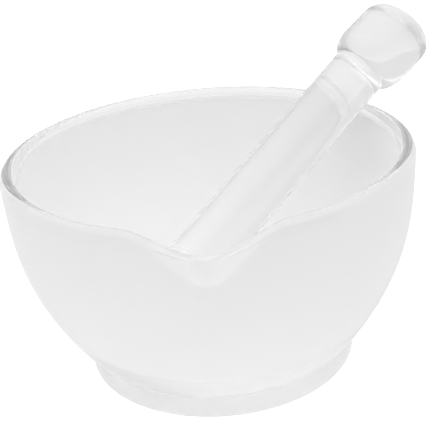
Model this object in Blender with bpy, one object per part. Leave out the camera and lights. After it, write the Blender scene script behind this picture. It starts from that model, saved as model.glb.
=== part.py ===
"""Glass mortar and pestle, as used on a laboratory bench.

The mortar is one piece of pressed glass: a bowl with a ground inside, a rounded rim,
a pouring spout pushed out of the rim, and a short solid foot.
The pestle is one piece of solid glass: a bulb that grinds, a plain shaft and a hand knob.
It leans with its bulb on the floor of the bowl and its shaft on the rim.

Metres, +Z up. The origin is the middle of the foot's flat underside, and the spout points to -Y.
"""
import math

import bmesh
import bpy
import numpy as np
from mathutils import Matrix, Vector

MM = 0.001

# ---- Mortar: driving dimensions
RIM_DIAMETER = 100.0 * MM
HEIGHT = 55.6 * MM
RIM_WALL = 4.0 * MM            # thickness of the wall at the rim, which is rounded over
FOOT_HEIGHT = 6.9 * MM         # from the table to the crease where the bowl starts
FOOT_TOP_DIAMETER = 68.9 * MM
FOOT_BASE_DIAMETER = 67.2 * MM
FOOT_EDGE_RADIUS = 2.0 * MM
FLOOR_THICKNESS = 6.0 * MM     # glass under the lowest point of the inside

# The wall is one curve from the crease to the rim. A fullness is the length of the curve's
# handle at that end, as a share of the distance between the ends.
WALL_START_ANGLE = math.radians(53.0)   # above the level, where the wall leaves the foot
WALL_END_LEAN = math.radians(3.0)       # off the upright, where the wall reaches the rim
WALL_START_FULLNESS = 0.51
WALL_END_FULLNESS = 0.27
INSIDE_FULLNESS = 0.5523                # a quarter ellipse

# ---- Mortar: pouring spout
SPOUT_WIDTH = 40.0 * MM        # along the rim
SPOUT_DEPTH = 12.0 * MM        # from the rim to the lower end of the beak under the lip
SPOUT_REACH = 3.6 * MM         # how far the lip stands out of the round
SPOUT_DROP = 4.4 * MM          # how far the lip lies below the rim
SPOUT_THINNING = 1.4 * MM      # how much thinner the wall is in the middle of the lip
BEAK_END_WIDTH = 4.0 * MM      # across the beak's lower end
BEAK_END_REACH = 0.6           # of the lip's reach, at the beak's lower end
BEAK_END_ROUND = 0.12          # of the beak's depth, where its lower end runs into the wall
DROP_FALLOFF = 3               # power with which the lip's drop dies away down the wall

# ---- Pestle: driving dimensions
PESTLE_LENGTH = 105.9 * MM
SHAFT_DIAMETER = 14.2 * MM
BULB_DIAMETER = 20.4 * MM
BULB_TAPER = 13.5 * MM         # from the bulb's widest place to the plain shaft
KNOB_DIAMETER = 19.2 * MM
KNOB_LENGTH = 18.7 * MM
KNOB_SHOULDER = 6.5 * MM       # from the neck to the knob's full width
KNOB_END_ROUND = 5.0 * MM      # rounding of the knob's far edge
KNOB_CROWN = 1.0 * MM          # how far the end of the knob bulges
KNOB_SLUMP = (0.85 * MM, -0.67 * MM)    # how far the knob's end was squeezed off the axis

# ---- How the pestle rests
LEAN_ELEVATION = math.radians(35.4)     # of the pestle above the level
LEAN_AZIMUTH = math.radians(31.8)       # of its knob end, from +X towards +Y
REST_GAP = 0.3 * MM                     # left between the two pieces where they touch

# ---- Mesh resolution
MORTAR_STEPS = 72
PESTLE_STEPS = 32
WALL_POINTS = 13
RIM_POINTS = 7
EDGE_POINTS = 4
REST_SPACING = 0.2 * MM        # between the outlines' points when the pestle's rest is worked out
REST_ROUNDS = 60
MERGE_DISTANCE = 0.001 * MM
SHARP_ANGLE = math.radians(40.0)

# ---- Finish: a grey tint and a roughness
MORTAR_FINISH = (0.90, 0.25)
PESTLE_FINISH = (0.88, 0.30)


def cubic(start, start_handle, end_handle, end, count):
    """Points on a cubic curve, from its start to its end, in the plane (radius, height)."""
    points = []
    for index in range(count):
        t = index / (count - 1)
        s = 1.0 - t
        point = start * s ** 3 + start_handle * 3 * s * s * t + end_handle * 3 * s * t * t + end * t ** 3
        points.append(point)
    return points


def arc(centre, across, along, start, end, count):
    """Points on an ellipse about centre, from one angle to another, counted from +radius."""
    points = []
    for index in range(count):
        angle = start + (end - start) * index / (count - 1)
        points.append(Vector((centre.x + across * math.cos(angle), centre.y + along * math.sin(angle))))
    return points


def join(*stretches):
    """One outline from several stretches, each starting where the last one ended."""
    outline = list(stretches[0])
    for stretch in stretches[1:]:
        outline.extend(stretch[1:])
    return outline


def level(angle):
    return Vector((math.cos(angle), math.sin(angle)))


def inside_outline(count):
    """The inside of the bowl, from the rim down to the middle of the floor."""
    top = Vector((RIM_DIAMETER / 2 - RIM_WALL, HEIGHT - RIM_WALL / 2))
    floor = Vector((0.0, FLOOR_THICKNESS))
    top_handle = Vector((top.x, top.y - INSIDE_FULLNESS * (top.y - floor.y)))
    floor_handle = Vector((INSIDE_FULLNESS * top.x, floor.y))
    return cubic(top, top_handle, floor_handle, floor, count)


def mortar_outline():
    """Half of the mortar's section, from the middle of the underside round to the bowl's floor."""
    middle = Vector((0.0, 0.0))
    base_radius = FOOT_BASE_DIAMETER / 2
    edge_centre = Vector((base_radius - FOOT_EDGE_RADIUS, FOOT_EDGE_RADIUS))
    edge = arc(edge_centre, FOOT_EDGE_RADIUS, FOOT_EDGE_RADIUS, -math.pi / 2, 0.0, EDGE_POINTS)
    crease = Vector((FOOT_TOP_DIAMETER / 2, FOOT_HEIGHT))
    rim_radius = RIM_WALL / 2
    rim_centre = Vector((RIM_DIAMETER / 2 - rim_radius, HEIGHT - rim_radius))
    rim = arc(rim_centre, rim_radius, rim_radius, 0.0, math.pi, RIM_POINTS)
    span = (rim[0] - crease).length
    start_handle = crease + level(WALL_START_ANGLE) * (WALL_START_FULLNESS * span)
    end_handle = rim[0] - level(math.pi / 2 - WALL_END_LEAN) * (WALL_END_FULLNESS * span)
    wall = cubic(crease, start_handle, end_handle, rim[0], WALL_POINTS)
    return join([middle, edge[0]], edge, [edge[-1], crease], wall, rim, inside_outline(WALL_POINTS))


def pestle_outline():
    """Half of the pestle's section, from the tip of the bulb to the end of the knob.

    Each point is (radius, distance from the tip along the pestle).
    """
    bulb_radius = BULB_DIAMETER / 2
    shaft_radius = SHAFT_DIAMETER / 2
    knob_radius = KNOB_DIAMETER / 2
    bulb = arc(Vector((0.0, bulb_radius)), bulb_radius, bulb_radius, -math.pi / 2, 0.0, RIM_POINTS)
    taper_end = Vector((shaft_radius, bulb_radius + BULB_TAPER))
    taper_handle = Vector((0.0, BULB_TAPER / 2))
    taper = cubic(bulb[-1], bulb[-1] + taper_handle, taper_end - taper_handle, taper_end, RIM_POINTS)
    neck = Vector((shaft_radius, PESTLE_LENGTH - KNOB_LENGTH))
    shoulder_centre = Vector((shaft_radius, neck.y + KNOB_SHOULDER))
    shoulder_height = knob_radius - shaft_radius
    shoulder = arc(shoulder_centre, shoulder_height, KNOB_SHOULDER, -math.pi / 2, 0.0, EDGE_POINTS)
    end_centre = Vector((knob_radius - KNOB_END_ROUND, PESTLE_LENGTH - KNOB_CROWN - KNOB_END_ROUND))
    end_round = arc(end_centre, KNOB_END_ROUND, KNOB_END_ROUND, 0.0, math.pi / 2, RIM_POINTS)
    crown = Vector((0.0, PESTLE_LENGTH))
    crown_edge = end_round[-1]
    crown_middle = Vector((crown_edge.x / 2, PESTLE_LENGTH - KNOB_CROWN / 4))
    return join(bulb, taper, [taper_end, neck], shoulder, [shoulder[-1], end_round[0]], end_round,
                [crown_edge, crown_middle, crown])


def finer(outline):
    """The same outline with a point every REST_SPACING, as an array."""
    points = []
    for start, end in zip(outline, outline[1:]):
        count = math.ceil((end - start).length / REST_SPACING)
        points.extend(tuple(start.lerp(end, index / count)) for index in range(count))
    points.append(tuple(outline[-1]))
    return np.array(points)


def rest_of_pestle():
    """Where the leaning pestle comes to rest, in the upright plane that holds its axis.

    That plane's first axis points to the side the pestle leans on. The pestle moves square to its
    axis until it is REST_GAP from the rim, and down its axis until it is REST_GAP from the bowl.
    Returns the tip's place in the plane, and the direction from the tip to the knob.
    """
    along = np.array(level(LEAN_ELEVATION))
    square = np.array((-along[1], along[0]))
    rim_radius = RIM_WALL / 2
    rim_centre = np.array((RIM_DIAMETER / 2 - rim_radius, HEIGHT - rim_radius))
    half = finer(pestle_outline())
    sag = KNOB_SLUMP[0] * np.array([slump_share(distance) for distance in half[:, 1]])
    section = np.concatenate([np.outer(half[:, 1], along) + np.outer(side * half[:, 0] - sag, square)
                              for side in (-1, 1)])
    bowl = finer(inside_outline(WALL_POINTS * 2))[::-1]    # from the axis outwards

    def rim_gap(tip):
        return np.linalg.norm(section + tip - rim_centre, axis=1).min() - rim_radius

    def bowl_gap(tip):
        points = section + tip
        points[:, 0] = np.abs(points[:, 0])
        points = points[points[:, 1] < rim_centre[1]]
        distances = np.linalg.norm(points[:, None, :] - bowl[None, :, :], axis=2).min(axis=1)
        buried = points[:, 1] < np.interp(points[:, 0], bowl[:, 0], bowl[:, 1], right=math.inf)
        return np.where(buried, -distances, distances).min()

    lift = rim_radius + SHAFT_DIAMETER / 2
    reach = RIM_DIAMETER / 2
    for _ in range(REST_ROUNDS):
        tip = rim_centre + square * lift - along * reach
        lift -= rim_gap(tip) - REST_GAP
        reach += bowl_gap(tip) - REST_GAP
    return rim_centre + square * lift - along * reach, along


def turned(name, outline, steps):
    """A solid turned about Z from half of its section, whose ends are both on the axis."""
    bm = bmesh.new()
    verts = [bm.verts.new((point.x, 0.0, point.y)) for point in outline]
    edges = [bm.edges.new(pair) for pair in zip(verts, verts[1:])]
    bmesh.ops.spin(bm, geom=verts + edges, cent=(0, 0, 0), axis=(0, 0, 1), dvec=(0, 0, 0),
                   angle=2 * math.pi, steps=steps, use_merge=True)
    bmesh.ops.remove_doubles(bm, verts=bm.verts, dist=MERGE_DISTANCE)
    bmesh.ops.recalc_face_normals(bm, faces=bm.faces)
    mesh = bpy.data.meshes.new(name)
    bm.to_mesh(mesh)
    bm.free()
    mesh.shade_smooth()
    mesh.set_sharp_from_angle(angle=SHARP_ANGLE)
    return mesh


def ease(share):
    """A smooth step from 0 to 1."""
    share = min(max(share, 0.0), 1.0)
    return share * share * (3 - 2 * share)


def push_out_spout(mesh):
    """Pushes the rim out and down at -Y, over a beak that narrows down the wall."""
    rim_radius = RIM_DIAMETER / 2
    start = HEIGHT - SPOUT_DEPTH
    for vert in mesh.vertices:
        share = min(max((vert.co.z - start) / SPOUT_DEPTH, 0.0), 1.0)
        if share == 0.0 or vert.co.y >= 0.0:
            continue
        half_width = (BEAK_END_WIDTH + (SPOUT_WIDTH - BEAK_END_WIDTH) * share) / 2
        aside = rim_radius * abs(math.atan2(vert.co.x, -vert.co.y))
        push = ease(1 - aside / half_width)
        depth = min(max((rim_radius - vert.co.xy.length) / RIM_WALL, 0.0), 1.0)    # in the wall
        reach = SPOUT_REACH * (BEAK_END_REACH + (1 - BEAK_END_REACH) * share) + SPOUT_THINNING * depth
        vert.co.y -= reach * push * ease(share / BEAK_END_ROUND)
        vert.co.z -= SPOUT_DROP * push * share ** DROP_FALLOFF


def slump_share(distance):
    """How much of the knob's slump there is at a distance from the pestle's tip."""
    return ease((distance - (PESTLE_LENGTH - KNOB_LENGTH)) / KNOB_LENGTH)


def slump_knob(mesh):
    """Moves the knob's end aside, more the further it is from the neck."""
    for vert in mesh.vertices:
        share = slump_share(vert.co.z)
        vert.co.x += KNOB_SLUMP[0] * share
        vert.co.y += KNOB_SLUMP[1] * share


def glass(name, finish):
    shade, roughness = finish
    tint = (shade, shade, shade)
    material = bpy.data.materials.new(name)
    material.use_nodes = True
    material.diffuse_color = (*tint, 1.0)
    shader = material.node_tree.nodes["Principled BSDF"]
    shader.inputs["Base Color"].default_value = (*tint, 1.0)
    shader.inputs["Roughness"].default_value = roughness
    shader.inputs["Metallic"].default_value = 0.0
    return material


def add_part(mesh, material, parent=None):
    part = bpy.data.objects.new(mesh.name, mesh)
    mesh.materials.append(material)
    bpy.context.scene.collection.objects.link(part)
    part.parent = parent
    return part


def build():
    for old in list(bpy.data.objects):
        bpy.data.objects.remove(old)

    # The mortar, with its spout.
    mortar_mesh = turned("mortar", mortar_outline(), MORTAR_STEPS)
    push_out_spout(mortar_mesh)
    add_part(mortar_mesh, glass("mortar_glass", MORTAR_FINISH))

    # The pestle's parent stands on the bowl's upright axis, which the pestle sweeps round.
    sweep = bpy.data.objects.new("pestle_sweep_axis", None)
    bpy.context.scene.collection.objects.link(sweep)
    pestle_mesh = turned("pestle", pestle_outline(), PESTLE_STEPS)
    slump_knob(pestle_mesh)
    pestle = add_part(pestle_mesh, glass("pestle_glass", PESTLE_FINISH), parent=sweep)
    tip, along = rest_of_pestle()
    tilt = Matrix.Rotation(math.atan2(*along), 4, "Y")
    turn = Matrix.Rotation(LEAN_AZIMUTH, 4, "Z")
    pestle.matrix_local = turn @ Matrix.Translation((tip[0], 0.0, tip[1])) @ tilt


build()
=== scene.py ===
# %% [markdown]
# # A glass mortar and pestle
# The object is a laboratory mortar of pressed glass, with a solid glass pestle leaning in it.
# It has only two separate pieces, and both are made new here, as fine smooth meshes that stand
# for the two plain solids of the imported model. The lesson is mostly about clear and ground glass:
# what shape glass needs, which finish each surface has, and what has to surround it to be seen.

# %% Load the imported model
import math

import bmesh
import bpy
from mathutils import Matrix, Vector, noise


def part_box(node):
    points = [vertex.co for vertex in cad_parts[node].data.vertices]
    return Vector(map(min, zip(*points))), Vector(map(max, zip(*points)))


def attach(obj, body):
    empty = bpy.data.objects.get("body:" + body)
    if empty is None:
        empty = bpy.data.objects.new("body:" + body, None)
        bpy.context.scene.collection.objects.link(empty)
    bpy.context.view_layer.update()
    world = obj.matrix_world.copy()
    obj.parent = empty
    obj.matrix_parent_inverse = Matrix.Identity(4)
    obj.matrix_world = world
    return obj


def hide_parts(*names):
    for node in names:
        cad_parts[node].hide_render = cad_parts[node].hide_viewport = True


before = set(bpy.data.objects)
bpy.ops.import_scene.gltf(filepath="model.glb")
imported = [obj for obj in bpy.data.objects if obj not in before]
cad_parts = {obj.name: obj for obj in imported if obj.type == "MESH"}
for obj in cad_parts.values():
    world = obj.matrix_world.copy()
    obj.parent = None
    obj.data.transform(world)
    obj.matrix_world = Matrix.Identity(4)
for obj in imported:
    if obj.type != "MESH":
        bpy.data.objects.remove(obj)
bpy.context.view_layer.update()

# %% [markdown]
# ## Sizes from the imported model
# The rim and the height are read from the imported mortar, so the fine mesh has the same overall
# size. The pestle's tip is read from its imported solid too: it is the point that lies furthest
# back along the direction in which the pestle leans. The smaller sizes, such as roundings, are
# written once, in metres, where they are first needed.

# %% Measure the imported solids
MM = 0.001
LEAN_ELEVATION = math.radians(35.4)     # of the pestle above the level
LEAN_AZIMUTH = math.radians(31.8)       # of its knob end, from +X towards +Y

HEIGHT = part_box("mortar")[1].z
RIM_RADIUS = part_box("mortar")[1].x
pestle_along = Vector((math.cos(LEAN_ELEVATION) * math.cos(LEAN_AZIMUTH),
                       math.cos(LEAN_ELEVATION) * math.sin(LEAN_AZIMUTH), math.sin(LEAN_ELEVATION)))
pestle_tip = min((vert.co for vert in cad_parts["pestle"].data.vertices), key=pestle_along.dot).copy()
print("mortar", round(2 * RIM_RADIUS / MM, 1), "mm wide and", round(HEIGHT / MM, 1), "mm high")
print("pestle tip", [round(number / MM, 1) for number in pestle_tip])

# %% [markdown]
# ## Outlines
# Both pieces are turned shapes, so each starts as half of its section: a row of points from the
# axis, round the outside, and back to the axis. Glass bends light at every facet, so a coarse
# outline would show as rings. The round stretches are therefore arcs and cubic curves with many
# points. A point's two numbers are its distance from the axis and its height.

# %% Arcs and cubic curves
def cubic(start, start_handle, end_handle, end, count):
    """Points on a cubic curve."""
    points = []
    for index in range(count):
        t = index / (count - 1)
        s = 1 - t
        points.append(start * s ** 3 + start_handle * 3 * s * s * t
                      + end_handle * 3 * s * t * t + end * t ** 3)
    return points


def arc(centre, across, upwards, start, end, count):
    """Points on an ellipse about a centre, between two angles counted from the level."""
    angles = [start + (end - start) * index / (count - 1) for index in range(count)]
    return [centre + Vector((across * math.cos(angle), upwards * math.sin(angle))) for angle in angles]


print("a half circle:", [point.to_tuple(2) for point in arc(Vector((0, 0)), 1, 1, 0, math.pi, 3)])

# %% Straight stretches and joins
def straight(start, end, count):
    """Points on a straight line."""
    return [start.lerp(end, index / (count - 1)) for index in range(count)]


def join(*stretches):
    """One outline from stretches that each start where the last one ended."""
    outline = list(stretches[0])
    for stretch in stretches[1:]:
        outline.extend(stretch[1:])
    return outline


def direction(angle):
    """A step of length 1 at an angle above the level."""
    return Vector((math.cos(angle), math.sin(angle)))


def ease(share):
    """A smooth step from 0 to 1."""
    share = min(max(share, 0), 1)
    return share * share * (3 - 2 * share)


print("a smooth step:", [round(ease(share / 4), 2) for share in range(5)])

# %% [markdown]
# ## The foot
# The foot is a solid disc with a rounded lower edge and a slightly flared side. Where it meets
# the bowl, pressed glass has a small soft crease, not a sharp one. A bevel on the mesh could
# round it, but in an outline a short curve does so with less work.

# %% The foot's outline
FOOT_HEIGHT = 6.9 * MM         # from the table to the crease where the bowl starts
FOOT_TOP_RADIUS = 34.45 * MM
FOOT_BASE_RADIUS = 33.6 * MM
FOOT_EDGE_RADIUS = 2.0 * MM
CREASE_REACH = 0.7 * MM        # how far the small fillet in the crease runs each way
WALL_START_ANGLE = math.radians(53.0)   # above the level, where the wall leaves the foot

edge_centre = Vector((FOOT_BASE_RADIUS - FOOT_EDGE_RADIUS, FOOT_EDGE_RADIUS))
underside = straight(Vector((0, 0)), Vector((edge_centre.x, 0)), 12)
edge = arc(edge_centre, FOOT_EDGE_RADIUS, FOOT_EDGE_RADIUS, -math.pi / 2, 0, 14)
crease = Vector((FOOT_TOP_RADIUS, FOOT_HEIGHT))
side_end = crease + (edge[-1] - crease).normalized() * CREASE_REACH
wall_way = direction(WALL_START_ANGLE)
wall_start = crease + wall_way * CREASE_REACH
foot = join(underside, edge, straight(edge[-1], side_end, 8), cubic(side_end, crease, crease, wall_start, 9))
print("foot", len(foot), "points")

# %% [markdown]
# ## The bowl
# The wall is one curve from the foot up to the rim, the rim is a half circle, and the inside is
# a quarter ellipse. The inside doesn't follow the outside, because the plunger of the press
# shapes it, so the wall is thick above the foot and thinnest at the rim.

# %% The bowl's outline
RIM_WALL = 4.0 * MM            # thickness of the wall at the rim, which is rounded over
FLOOR_THICKNESS = 6.0 * MM     # glass under the lowest point of the inside
WALL_END_LEAN = math.radians(3.0)       # off the upright, where the wall reaches the rim
WALL_START_FULLNESS = 0.51              # lengths of the wall curve's handles
WALL_END_FULLNESS = 0.27
INSIDE_FULLNESS = 0.5523                # a quarter ellipse

rim_centre = Vector((RIM_RADIUS - RIM_WALL / 2, HEIGHT - RIM_WALL / 2))
rim = arc(rim_centre, RIM_WALL / 2, RIM_WALL / 2, 0, math.pi, 30)
span = (rim[0] - crease).length
wall_end_handle = rim[0] - direction(math.pi / 2 - WALL_END_LEAN) * (WALL_END_FULLNESS * span)
wall = cubic(wall_start, crease + wall_way * (WALL_START_FULLNESS * span), wall_end_handle, rim[0], 60)
floor_middle = Vector((0, FLOOR_THICKNESS))
inside_start_handle = Vector((rim[-1].x, rim[-1].y - INSIDE_FULLNESS * (rim[-1].y - floor_middle.y)))
inside_end_handle = Vector((INSIDE_FULLNESS * rim[-1].x, floor_middle.y))
inside = cubic(rim[-1], inside_start_handle, inside_end_handle, floor_middle, 80)
outside = join(foot, wall)
mortar_outline = join(outside, rim, inside)
print("mortar outline", len(mortar_outline), "points")

# %% [markdown]
# ## Where the mortar is ground
# Each point of the outline also carries how ground the surface is there, from 0 for glass that
# was polished by fire to 1 for glass that was ground with a paste. The grinding starts where the
# rounding of the rim ends and covers the whole inside. The underside is half worn dull from
# standing on benches. Numbers on the points are chosen over a painted map, because the finish
# follows the turned shape exactly.

# %% Mark the ground stretches
GROUND_START = 1.6 * MM    # down from the rim's top
GROUND_FADE = 0.8 * MM     # over which the grinding starts
UNDERSIDE_WEAR = 0.5

mortar_ground = [UNDERSIDE_WEAR] * len(underside) + [0] * (len(outside) - len(underside))
mortar_ground += [ease((HEIGHT - GROUND_START - point.y) / GROUND_FADE) * (point.x < rim_centre.x)
                  for point in mortar_outline[len(outside):]]
print("points that are at least a little ground:", sum(share > 0 for share in mortar_ground))

# %% [markdown]
# ## Turning
# `bmesh.ops.spin` turns an outline about the Z axis, and copies what a point carries to each
# step. The points on the axis come out once per step, so doubles are merged before the faces
# are made to point outwards. The upright place of each point is kept too, so that a pattern
# still follows the pestle after it has been leaned.

# %% The lathe
MERGE_DISTANCE = 0.001 * MM


def turned(outline, ground, steps):
    """A bmesh turned about Z from an outline, with a vertex layer that says how ground it is."""
    bm = bmesh.new()
    layer = bm.verts.layers.float.new("ground")
    verts = []
    for point, share in zip(outline, ground):
        vert = bm.verts.new((point.x, 0, point.y))
        vert[layer] = share
        verts.append(vert)
    edges = [bm.edges.new(pair) for pair in zip(verts, verts[1:])]
    bmesh.ops.spin(bm, geom=verts + edges, cent=(0, 0, 0), axis=(0, 0, 1), dvec=(0, 0, 0),
                   angle=2 * math.pi, steps=steps, use_merge=True)
    bmesh.ops.remove_doubles(bm, verts=bm.verts, dist=MERGE_DISTANCE)
    bmesh.ops.recalc_face_normals(bm, faces=bm.faces)
    upright = bm.verts.layers.float_vector.new("upright")
    for vert in bm.verts:
        vert[upright] = vert.co
    return bm


# %% Turn the mortar
MORTAR_STEPS = 240
mortar_bm = turned(mortar_outline, mortar_ground, MORTAR_STEPS)
print("turned mortar", len(mortar_bm.verts), "points")

# %% [markdown]
# ## The pouring spout
# On the real mortar the lip is pressed out and down, over a short beak that narrows as it goes
# down the wall and ends in a small blunt keel. The points of the finished lathe work are moved,
# inside and outside of the wall together, so the glass keeps its thickness, apart from the lip
# itself, which is thinner in the middle.

# %% Push out the spout
SPOUT_WIDTH = 40.0 * MM        # along the rim
SPOUT_DEPTH = 12.0 * MM        # from the rim to the lower end of the beak under the lip
SPOUT_REACH = 3.6 * MM         # how far the lip stands out of the round
SPOUT_DROP = 4.4 * MM          # how far the lip lies below the rim
SPOUT_THINNING = 1.4 * MM      # how much thinner the wall is in the middle of the lip
BEAK_END_WIDTH = 4.0 * MM      # across the beak's lower end
BEAK_END_REACH = 0.6           # of the lip's reach, at the beak's lower end
BEAK_END_ROUND = 0.12          # of the beak's depth, where its lower end runs into the wall
DROP_FALLOFF = 3               # power with which the lip's drop dies away down the wall

for vert in mortar_bm.verts:
    share = min((vert.co.z - HEIGHT + SPOUT_DEPTH) / SPOUT_DEPTH, 1)
    if share <= 0 or vert.co.y >= 0:
        continue
    half_width = (BEAK_END_WIDTH + (SPOUT_WIDTH - BEAK_END_WIDTH) * share) / 2
    aside = RIM_RADIUS * abs(math.atan2(vert.co.x, -vert.co.y))
    push = ease(1 - aside / half_width)
    depth = min(max((RIM_RADIUS - vert.co.xy.length) / RIM_WALL, 0), 1)
    reach = SPOUT_REACH * (BEAK_END_REACH + (1 - BEAK_END_REACH) * share) + SPOUT_THINNING * depth
    vert.co.y -= reach * push * ease(share / BEAK_END_ROUND)
    vert.co.z -= SPOUT_DROP * push * share ** DROP_FALLOFF

print("spout reaches", round(-min(vert.co.y for vert in mortar_bm.verts) / MM, 1), "mm from the axis")

# %% Make the mortar an object
def finished(bm, name):
    """A smooth-shaded object at the origin from a bmesh."""
    mesh = bpy.data.meshes.new(name)
    bm.to_mesh(mesh)
    bm.free()
    mesh.shade_smooth()
    piece = bpy.data.objects.new(name, mesh)
    bpy.context.scene.collection.objects.link(piece)
    print(name, len(mesh.vertices), "points and", len(mesh.polygons), "faces")
    return piece


mortar = finished(mortar_bm, "glass_mortar")

# %% [markdown]
# ## The pestle
# The pestle is one solid rod: a ball-ended grinding bulb, a plain shaft, and a squat knob that
# was squeezed from hot glass. It is turned upright, with its tip at the origin, shaped there,
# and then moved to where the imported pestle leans.

# %% The bulb and the shaft
PESTLE_LENGTH = 105.9 * MM
SHAFT_RADIUS = 7.1 * MM
BULB_RADIUS = 10.2 * MM
BULB_TAPER = 13.5 * MM         # from the bulb's widest place to the plain shaft
KNOB_LENGTH = 18.7 * MM

bulb = arc(Vector((0, BULB_RADIUS)), BULB_RADIUS, BULB_RADIUS, -math.pi / 2, 0, 30)
taper_end = Vector((SHAFT_RADIUS, BULB_RADIUS + BULB_TAPER))
taper_handle = Vector((0, BULB_TAPER / 2))
taper = cubic(bulb[-1], bulb[-1] + taper_handle, taper_end - taper_handle, taper_end, 20)
neck = Vector((SHAFT_RADIUS, PESTLE_LENGTH - KNOB_LENGTH))
rod = join(bulb, taper, straight(taper_end, neck, 60))
print("bulb and shaft", len(rod), "points")

# %% The knob
KNOB_RADIUS = 9.6 * MM
KNOB_SHOULDER = 6.5 * MM       # from the neck to the knob's full width
KNOB_END_ROUND = 5.0 * MM      # rounding of the knob's far edge
KNOB_CROWN = 1.0 * MM          # how far the end of the knob bulges

shoulder_centre = neck + Vector((0, KNOB_SHOULDER))
shoulder = arc(shoulder_centre, KNOB_RADIUS - SHAFT_RADIUS, KNOB_SHOULDER, -math.pi / 2, 0, 16)
end_centre = Vector((KNOB_RADIUS - KNOB_END_ROUND, PESTLE_LENGTH - KNOB_CROWN - KNOB_END_ROUND))
end_round = arc(end_centre, KNOB_END_ROUND, KNOB_END_ROUND, 0, math.pi / 2, 20)
crown_handle = Vector((end_round[-1].x / 2, PESTLE_LENGTH))
crown = cubic(end_round[-1], end_round[-1], crown_handle, Vector((0, PESTLE_LENGTH)), 10)
pestle_outline = join(rod, shoulder, straight(shoulder[-1], end_round[0], 8), end_round, crown)
print("pestle outline", len(pestle_outline), "points")

# %% [markdown]
# ## Where the pestle is ground
# Only the bulb is ground, with a soft end to the grinding. The shaft and the knob are as they
# came from the mould, which left them a little dull.

# %% Mark the ground bulb
BULB_GROUND_END = 10.0 * MM    # from the tip
BULB_GROUND_FADE = 14.0 * MM
SHAFT_DULLNESS = 0.2           # how ground the shaft looks
KNOB_DULLNESS = 0.22
PESTLE_STEPS = 128


def dullness(height):
    """How ground the pestle is at a distance from its tip."""
    bulb_share = 1 - ease((height - BULB_GROUND_END) / BULB_GROUND_FADE)
    knob_share = ease((height - neck.y) / KNOB_SHOULDER)
    return SHAFT_DULLNESS + (1 - SHAFT_DULLNESS) * bulb_share + (KNOB_DULLNESS - SHAFT_DULLNESS) * knob_share


pestle_bm = turned(pestle_outline, [dullness(point.y) for point in pestle_outline], PESTLE_STEPS)
print("turned pestle", len(pestle_bm.verts), "points")

# %% [markdown]
# ## Hand-made unevenness
# The knob is a little lumpy, and its end is about a millimetre off the axis. A noise field
# pushes the knob's surface in and out by a fraction of a millimetre. The shaft gets far less,
# only enough to make the lines that are seen through it waver.

# %% Lumps and slump
KNOB_SLUMP = Vector((0.85, -0.67, 0)) * MM    # how far the knob's end was squeezed off the axis
KNOB_LUMP = 0.5 * MM
SHAFT_LUMP = 0.06 * MM
LUMP_SIZE = 8 * MM

knob_middle = Vector((0, 0, PESTLE_LENGTH - KNOB_LENGTH / 2))
for vert in pestle_bm.verts:
    share = ease((vert.co.z - neck.y) / KNOB_LENGTH)
    lump = noise.noise(vert.co / LUMP_SIZE)
    sideways = Vector((vert.co.x, vert.co.y, 0)) / SHAFT_RADIUS
    outwards = sideways.lerp((vert.co - knob_middle).normalized(), share)
    vert.co += outwards * lump * (SHAFT_LUMP + (KNOB_LUMP - SHAFT_LUMP) * share)
    vert.co += KNOB_SLUMP * share

print("pestle", round(max(vert.co.z for vert in pestle_bm.verts) / MM, 1), "mm long")

# %% [markdown]
# ## Leaning the pestle
# The pestle's mesh is moved, and not its object, so the object stays at the origin, unturned,
# as a finished piece should.

# %% Lean it in the bowl
tilt = Matrix.Rotation(math.pi / 2 - LEAN_ELEVATION, 4, "Y")
lean = Matrix.Rotation(LEAN_AZIMUTH, 4, "Z") @ tilt
pestle_bm.transform(Matrix.Translation(pestle_tip) @ lean)
pestle = finished(pestle_bm, "glass_pestle")

# %% [markdown]
# ## Shader maths
# A small class wraps a socket, so that a pattern can be written as an expression: each operator
# adds a Math node. Its other method, `node`, makes any other node from its type, its settings
# and what goes into its sockets.

# %% The shader class
class Value:
    """A shader socket that adds Math nodes when it is used in an expression."""

    def __init__(self, tree, socket=None):
        self.tree = tree
        self.socket = socket

    def node(self, kind, settings=None, output=0, **inputs):
        """A new node's output. An input is named with _ for each space, or _ and its number."""
        made = self.tree.nodes.new(kind)
        for name, setting in (settings or {}).items():
            setattr(made, name, setting)
        for name, given in inputs.items():
            socket = made.inputs[int(name[1:]) if name[0] == "_" else name.replace("_", " ")]
            if isinstance(given, Value):
                self.tree.links.new(given.socket, socket)
            else:
                socket.default_value = given
        return Value(self.tree, made.outputs[output] if made.outputs else None)

    def math(self, operation, first, second):
        return self.node("ShaderNodeMath", {"operation": operation}, _0=first, _1=second)

    def __add__(self, other):
        return self.math("ADD", self, other)

    def __sub__(self, other):
        return self.math("SUBTRACT", self, other)

    def __rsub__(self, other):
        return self.math("SUBTRACT", other, self)

    def __mul__(self, other):
        return self.math("MULTIPLY", self, other)

    __radd__ = __add__
    __rmul__ = __mul__

    def between(self, low, high):
        """A smooth step that is 0 up to low and 1 from high on."""
        return self.node("ShaderNodeMapRange", {"interpolation_type": "SMOOTHSTEP"}, Value=self,
                         From_Min=low, From_Max=high)


# %% [markdown]
# ## Clear glass
# Clear glass is a Principled shader with full transmission and the index of refraction of glass.
# It isn't quite smooth: a pressed surface waves a little where it cooled against the mould. That
# is too little to model, so a noise texture gives it through a Bump node.

# %% The clear finish
GLASS_IOR = 1.5
WHITE = (1, 1, 1, 1)


def clear_finish(start, upright, polish, wave, wave_size):
    """Clear glass with a roughness, and with waves of a height and a size in metres."""
    waves = start.node("ShaderNodeTexNoise", output="Fac", Vector=upright, Scale=1 / wave_size, Detail=1.0)
    normal = start.node("ShaderNodeBump", Height=waves, Distance=wave)
    return start.node("ShaderNodeBsdfPrincipled", Base_Color=WHITE, Roughness=polish, IOR=GLASS_IOR,
                      Transmission_Weight=1.0, Normal=normal)


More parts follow.
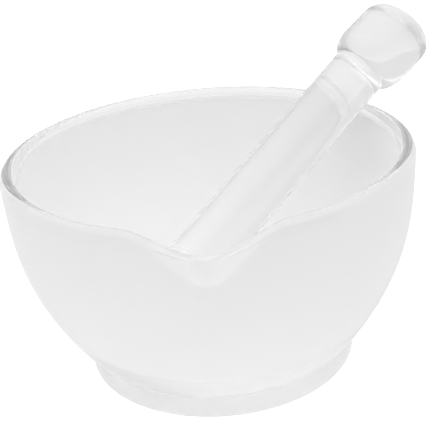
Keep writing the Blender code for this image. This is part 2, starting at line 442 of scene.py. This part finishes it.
# %% [markdown]
# ## Ground glass
# Ground glass scatters light both ways. A Principled shader with a high roughness gives the part
# of the light that goes on through. The rest is thrown back by a Diffuse shader or let through
# in all directions by a Translucent one. Fine grain and broad blotches change a little how much
# of the light is scattered.

# %% The ground finish
GROUND_IOR = 1.12          # low, so that scattering hides the edge where clear glass turns to a mirror
GROUND_ROUGHNESS = 0.8
GROUND_THROUGH = 0.46      # share of the scattered light that goes through
GRAIN_SIZE = 0.4 * MM
BLOTCH_SIZE = 9.0 * MM
MOTTLE = 0.1               # how much grain and blotches change the scattered share


def ground_finish(start, upright, scatter):
    """Ground glass that scatters a share of the light."""
    rough = start.node("ShaderNodeBsdfPrincipled", Base_Color=WHITE, Roughness=GROUND_ROUGHNESS,
                       IOR=GROUND_IOR, Transmission_Weight=1.0)
    back = start.node("ShaderNodeBsdfDiffuse", Color=WHITE)
    through = start.node("ShaderNodeBsdfTranslucent", Color=WHITE)
    scattered = start.node("ShaderNodeMixShader", _0=GROUND_THROUGH, _1=back, _2=through)
    grain = start.node("ShaderNodeTexNoise", output="Fac", Vector=upright, Scale=1 / GRAIN_SIZE, Detail=2.0)
    blotches = start.node("ShaderNodeTexNoise", output="Fac", Vector=upright, Scale=1 / BLOTCH_SIZE,
                          Detail=3.0)
    share = scatter + MOTTLE * (grain + blotches - 1)
    return start.node("ShaderNodeMixShader", _0=share, _1=rough, _2=scattered)


# %% [markdown]
# ## One material for each piece
# The mask on the points mixes the two finishes. Glass is also very slightly grey, which shows
# only where light goes a long way inside it, as along the rim. That is a volume's work: Volume
# Absorption takes light off by the length of its path through the piece.

# %% The glass
GREY = (0.5, 0.5, 0.5, 1)


def glass(name, polish, wave, wave_size, scatter, greyness):
    """Glass that is clear or ground by the mask, with the density of its grey volume."""
    material = bpy.data.materials.new(name)
    material.use_nodes = True
    tree = material.node_tree
    tree.nodes.clear()
    start = Value(tree)
    ground = start.node("ShaderNodeAttribute", {"attribute_name": "ground"}, output="Fac")
    upright = start.node("ShaderNodeAttribute", {"attribute_name": "upright"}, output="Vector")
    mixed = start.node("ShaderNodeMixShader", _0=ground,
                       _1=clear_finish(start, upright, polish, wave, wave_size),
                       _2=ground_finish(start, upright, scatter))
    inside = start.node("ShaderNodeVolumeAbsorption", Color=GREY, Density=greyness)
    start.node("ShaderNodeOutputMaterial", Surface=mixed, Volume=inside)
    print(name, len(tree.nodes), "nodes")
    return material


mortar.data.materials.append(
    glass("mortar_glass", polish=0.03, wave=0.03 * MM, wave_size=7 * MM, scatter=0.85, greyness=5))
pestle.data.materials.append(
    glass("pestle_glass", polish=0.15, wave=0.05 * MM, wave_size=5 * MM, scatter=0.6, greyness=7))

# %% [markdown]
# ## Riding
# Each piece rides on the body of the solid that it replaces, so the pestle stirs as one piece.

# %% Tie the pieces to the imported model
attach(mortar, "mortar")
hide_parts("mortar")
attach(pestle, "pestle")
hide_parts("pestle")
print("mortar and pestle ride on their bodies")

# %% [markdown]
# ## Camera
# The camera looks down at the mortar from the front, with the spout a little left of the middle
# and the pestle's knob at the upper right. It is near, so that the rim opens up as it does for
# someone who works at the bench.

# %% Camera
CAMERA_AZIMUTH = math.radians(1.75)
CAMERA_ELEVATION = math.radians(23.66)
CAMERA_ROLL = math.radians(-4.73)
CAMERA_DISTANCE = 273.2 * MM
CAMERA_LENS = 90.1
AIM = Vector((2.0, 0.1, 38.3)) * MM

camera_data = bpy.data.cameras.new("camera")
camera_data.lens = CAMERA_LENS
camera = bpy.data.objects.new("camera", camera_data)
bpy.context.scene.collection.objects.link(camera)
to_camera = Vector((math.sin(CAMERA_AZIMUTH) * math.cos(CAMERA_ELEVATION),
                    -math.cos(CAMERA_AZIMUTH) * math.cos(CAMERA_ELEVATION), math.sin(CAMERA_ELEVATION)))
turn = (-to_camera).to_track_quat("-Z", "Y").to_matrix().to_4x4()
camera.matrix_world = (Matrix.Translation(AIM + to_camera * CAMERA_DISTANCE) @ turn
                       @ Matrix.Rotation(CAMERA_ROLL, 4, "Z"))
bpy.context.scene.camera = camera
print("camera at", [round(number / MM) for number in camera.matrix_world.translation], "mm")

# %% [markdown]
# ## The table
# Glass is mostly seen by what stands behind it. It stands on a light table here: a white sheet
# that glows, so that there is no shadow. The sheet is dimmer where it is seen through the glass
# than beside it, so that pale glass still stands out from the white. A Light Path node makes
# that difference.

# %% The light table
TABLE_GAP = 0.2 * MM       # between the sheet and the foot
TABLE_SIZE = 3.0
TABLE_SHADE = (0.1, 0.1, 0.1, 1)
GLOW_SEEN = 1.1
GLOW_IN_GLASS = 0.65

table_bm = bmesh.new()
bmesh.ops.create_grid(table_bm, x_segments=1, y_segments=1, size=TABLE_SIZE)
table_mesh = bpy.data.meshes.new("floor")
table_bm.to_mesh(table_mesh)
table_bm.free()
table = bpy.data.objects.new("floor", table_mesh)
table.location.z = -TABLE_GAP
bpy.context.scene.collection.objects.link(table)

print("light table", 2 * TABLE_SIZE, "m wide")

# %% Make it glow
table_material = bpy.data.materials.new("light_table")
table_material.use_nodes = True
seen = Value(table_material.node_tree).node("ShaderNodeLightPath", output="Is Camera Ray")
glow = GLOW_IN_GLASS + (GLOW_SEEN - GLOW_IN_GLASS) * seen
table_shader = table_material.node_tree.nodes["Principled BSDF"]
table_shader.inputs["Base Color"].default_value = TABLE_SHADE
table_shader.inputs["Emission Color"].default_value = WHITE
table_material.node_tree.links.new(glow.socket, table_shader.inputs["Emission Strength"])
table_mesh.materials.append(table_material)
print("the table glows with", GLOW_SEEN, "and with", GLOW_IN_GLASS, "in the glass")

# %% [markdown]
# ## The room
# The studio is an even room with a large soft light overhead, which lights the ground inside of
# the bowl. All round it is a little darker, and darker still behind the camera. In glass those
# darker parts draw the fine grey lines along the rim and the foot.

# %% Light
ROOM_AROUND = 0.8
ROOM_OVERHEAD = 2.05
OVERHEAD_START, OVERHEAD_FULL = 0.4, 0.9      # sines of the height above the horizon
FRONT_DARK = 0.25
FRONT_START, FRONT_FULL = 0.2, 0.7            # sines of the turn towards the front

world = bpy.data.worlds.new("studio")
world.use_nodes = True
way = Value(world.node_tree).node("ShaderNodeTexCoord", output="Generated")
to_front = 0 - way.node("ShaderNodeSeparateXYZ", output="Y", Vector=way)
overhead = way.node("ShaderNodeSeparateXYZ", output="Z", Vector=way)
around = ROOM_AROUND * (1 - FRONT_DARK * to_front.between(FRONT_START, FRONT_FULL))
light = around + (ROOM_OVERHEAD - ROOM_AROUND) * overhead.between(OVERHEAD_START, OVERHEAD_FULL)
background = world.node_tree.nodes["Background"]
background.inputs["Color"].default_value = WHITE
world.node_tree.links.new(light.socket, background.inputs["Strength"])
bpy.context.scene.world = world
print("room", ROOM_AROUND, "round about and", ROOM_OVERHEAD, "overhead")

# %% [markdown]
# ## How far light is followed
# Light that is caught in a thick clear rim is mirrored many times before it leaves. With too few
# bounces it is dropped on the way, and the rim turns black.

# %% Light paths
BOUNCES = 24
GLOSSY_BOUNCES = 16
DIFFUSE_BOUNCES = 8

scene = bpy.context.scene
scene.cycles.max_bounces = BOUNCES
scene.cycles.transmission_bounces = BOUNCES
scene.cycles.glossy_bounces = GLOSSY_BOUNCES
scene.cycles.diffuse_bounces = DIFFUSE_BOUNCES
scene.view_settings.view_transform = "Standard"
print("light is followed for", BOUNCES, "bounces")
